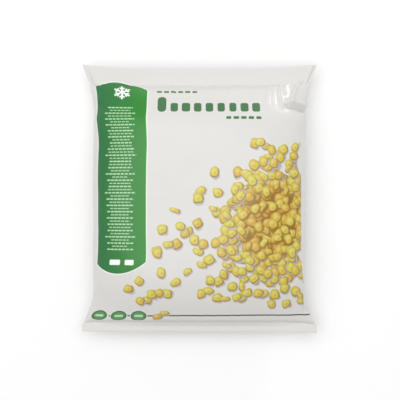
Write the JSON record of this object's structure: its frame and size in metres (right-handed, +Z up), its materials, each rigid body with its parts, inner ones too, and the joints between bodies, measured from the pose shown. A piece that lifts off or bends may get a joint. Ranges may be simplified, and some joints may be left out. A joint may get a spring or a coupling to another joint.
{
  "type": "frozen vegetable bag",
  "caption": "Filled pillow bag of white printed film, lying flat, with a crimped seal and flared corners at each end.",
  "frame": {"origin": "under the middle of the bag, on the surface that it lies on", "axes": "+Y along the bag towards its top seal, +Z up out of the printed front, +X to the print's right"},
  "size_m": [0.29, 0.33, 0.078],
  "materials": {
    "printed_film": "white polyethylene film with a satin sheen, printed with a green panel and yellow sweetcorn kernels"
  },
  "bodies": {
    "root": {"bag": "printed_film"}
  },
  "joints": []
}
